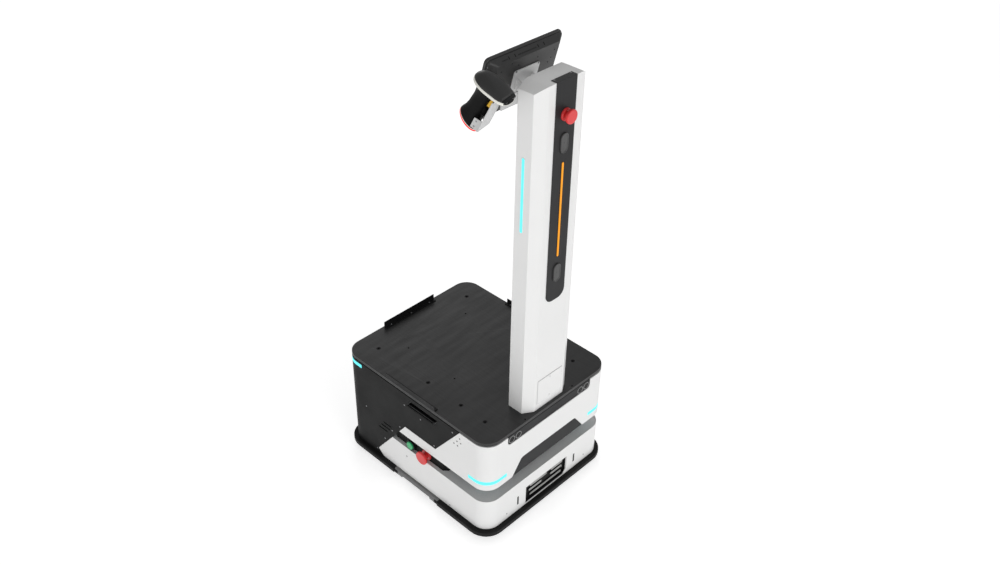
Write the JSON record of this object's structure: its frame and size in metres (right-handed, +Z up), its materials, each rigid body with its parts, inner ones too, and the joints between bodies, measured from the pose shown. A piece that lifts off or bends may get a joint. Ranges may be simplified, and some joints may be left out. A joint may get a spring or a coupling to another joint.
{
  "type": "mobile picking robot",
  "caption": "Wheeled picking robot: low base with a load deck, lit corner strips, and a slim mast with a tilting tablet and a hand scanner.",
  "frame": {"origin": "on the floor, at the centre of the base's plan outline", "axes": "+Z up along the mast; -Y to the robot's front, the end that carries the mast; +X to the right when looking at the front"},
  "size_m": [0.528, 0.614, 1.3876],
  "materials": {
    "white_cover": "satin moulded",
    "dark_cover": "fine texture",
    "deck_paint": "powder coat",
    "bumper_rubber": "matt",
    "wheel_rubber": "matt",
    "grey_plate": "powder coat",
    "steel": "brushed",
    "motor_metal": "cast",
    "battery_case": "moulded",
    "black_trim": "semi-gloss",
    "screen_black": "gloss bezel, matt glass",
    "estop_red": "satin",
    "start_green": "satin",
    "button_grey": "satin",
    "trigger_yellow": "satin",
    "cyan_light": "lit diffuser",
    "orange_light": "lit diffuser"
  },
  "bodies": {
    "base": {"lower_cover": "white_cover", "upper_cover": "white_cover", "mast_cover": "white_cover", "mast_rear_cover": "white_cover", "access_cover": "white_cover", "rear_cover": "dark_cover", "side_panel": "dark_cover", "control_strip": "dark_cover", "deck_plate": "deck_paint", "front_bumper": "bumper_rubber", "rear_bumper": "bumper_rubber", "slot_floor": "grey_plate", "wheel_arch_panel_left": "grey_plate", "wheel_arch_panel_right": "grey_plate", "tablet_mount": "grey_plate", "scanner_holder": "grey_plate", "chassis_plate": "steel", "body_frame": "steel", "mast_spine": "steel", "gear_motor_left": "motor_metal", "gear_motor_right": "motor_metal", "control_computer": "motor_metal", "battery_pack": "battery_case", "lidar_sensor": "black_trim", "sensor_strip": "black_trim", "camera_window": "black_trim", "charge_port": "black_trim", "grip_cup_left": "black_trim", "grip_cup_right": "black_trim", "tote_rail_rear": "black_trim", "tote_rail_left": "black_trim", "tote_rail_right": "black_trim", "front_light_left": "cyan_light", "front_light_right": "cyan_light", "rear_light_left": "cyan_light", "rear_light_right": "cyan_light", "mast_light_left": "cyan_light", "mast_light_right": "cyan_light", "status_light": "orange_light"},
    "drive_wheel_left": {"drive_wheel_left": "wheel_rubber"},
    "drive_wheel_right": {"drive_wheel_right": "wheel_rubber"},
    "caster_fork_front_left": {"caster_fork_front_left": "steel"},
    "caster_wheel_front_left": {"caster_wheel_front_left": "wheel_rubber"},
    "caster_fork_front_right": {"caster_fork_front_right": "steel"},
    "caster_wheel_front_right": {"caster_wheel_front_right": "wheel_rubber"},
    "caster_fork_rear_left": {"caster_fork_rear_left": "steel"},
    "caster_wheel_rear_left": {"caster_wheel_rear_left": "wheel_rubber"},
    "caster_fork_rear_right": {"caster_fork_rear_right": "steel"},
    "caster_wheel_rear_right": {"caster_wheel_rear_right": "wheel_rubber"},
    "tablet": {"tablet_front": "screen_black", "tablet_housing": "dark_cover", "tilt_bracket": "grey_plate"},
    "mast_estop": {"mast_estop_head": "estop_red"},
    "side_estop": {"side_estop_head": "estop_red"},
    "start_button": {"start_button": "start_green"},
    "pill_button_upper": {"pill_button_upper": "button_grey"},
    "pill_button_lower": {"pill_button_lower": "button_grey"},
    "scanner": {"scanner_head": "dark_cover", "scanner_handle": "bumper_rubber"},
    "scanner_trigger": {"scanner_trigger": "trigger_yellow"}
  },
  "joints": [
    {"name": "drive_wheel_left_spin", "type": "hinge", "parent": "base", "child": "drive_wheel_left", "pos_m": [-0.22, -0.01, 0.065], "axis": [1, 0, 0], "continuous": true},
    {"name": "drive_wheel_right_spin", "type": "hinge", "parent": "base", "child": "drive_wheel_right", "pos_m": [0.22, -0.01, 0.065], "axis": [1, 0, 0], "continuous": true},
    {"name": "caster_front_left_swivel", "type": "hinge", "parent": "base", "child": "caster_fork_front_left", "pos_m": [-0.185, -0.225, 0.07], "axis": [0, 0, 1], "continuous": true},
    {"name": "caster_front_left_roll", "type": "hinge", "parent": "caster_fork_front_left", "child": "caster_wheel_front_left", "pos_m": [-0.185, -0.207, 0.025], "axis": [1, 0, 0], "continuous": true},
    {"name": "caster_front_right_swivel", "type": "hinge", "parent": "base", "child": "caster_fork_front_right", "pos_m": [0.185, -0.225, 0.07], "axis": [0, 0, 1], "continuous": true},
    {"name": "caster_front_right_roll", "type": "hinge", "parent": "caster_fork_front_right", "child": "caster_wheel_front_right", "pos_m": [0.185, -0.207, 0.025], "axis": [1, 0, 0], "continuous": true},
    {"name": "caster_rear_left_swivel", "type": "hinge", "parent": "base", "child": "caster_fork_rear_left", "pos_m": [-0.185, 0.225, 0.07], "axis": [0, 0, 1], "continuous": true},
    {"name": "caster_rear_left_roll", "type": "hinge", "parent": "caster_fork_rear_left", "child": "caster_wheel_rear_left", "pos_m": [-0.185, 0.243, 0.025], "axis": [1, 0, 0], "continuous": true},
    {"name": "caster_rear_right_swivel", "type": "hinge", "parent": "base", "child": "caster_fork_rear_right", "pos_m": [0.185, 0.225, 0.07], "axis": [0, 0, 1], "continuous": true},
    {"name": "caster_rear_right_roll", "type": "hinge", "parent": "caster_fork_rear_right", "child": "caster_wheel_rear_right", "pos_m": [0.185, 0.243, 0.025], "axis": [1, 0, 0], "continuous": true},
    {"name": "tablet_tilt", "type": "hinge", "parent": "base", "child": "tablet", "pos_m": [0, -0.17735, 1.28876], "axis": [1, 0, 0], "range_deg": [-20, 15]},
    {"name": "mast_estop_press", "type": "slide", "parent": "base", "child": "mast_estop", "axis": [0, 1, 0], "range_m": [0, 0.004]},
    {"name": "side_estop_press", "type": "slide", "parent": "base", "child": "side_estop", "axis": [1, 0, 0], "range_m": [0, 0.004]},
    {"name": "start_button_press", "type": "slide", "parent": "base", "child": "start_button", "axis": [1, 0, 0], "range_m": [0, 0.0025], "stiffness_N_per_m": 400, "springref_m": -0.001},
    {"name": "pill_button_upper_press", "type": "slide", "parent": "base", "child": "pill_button_upper", "axis": [0, 1, 0], "range_m": [0, 0.0015], "stiffness_N_per_m": 400, "springref_m": -0.001},
    {"name": "pill_button_lower_press", "type": "slide", "parent": "base", "child": "pill_button_lower", "axis": [0, 1, 0], "range_m": [0, 0.0015], "stiffness_N_per_m": 400, "springref_m": -0.001},
    {"name": "scanner_lift", "type": "slide", "parent": "base", "child": "scanner", "axis": [0.0911, -0.4288, 0.8988], "range_m": [0, 0.15]},
    {"name": "scanner_trigger_squeeze", "type": "slide", "parent": "scanner", "child": "scanner_trigger", "axis": [-0.1869, 0.8792, 0.4384], "range_m": [0, 0.003], "stiffness_N_per_m": 400, "springref_m": -0.001}
  ]
}
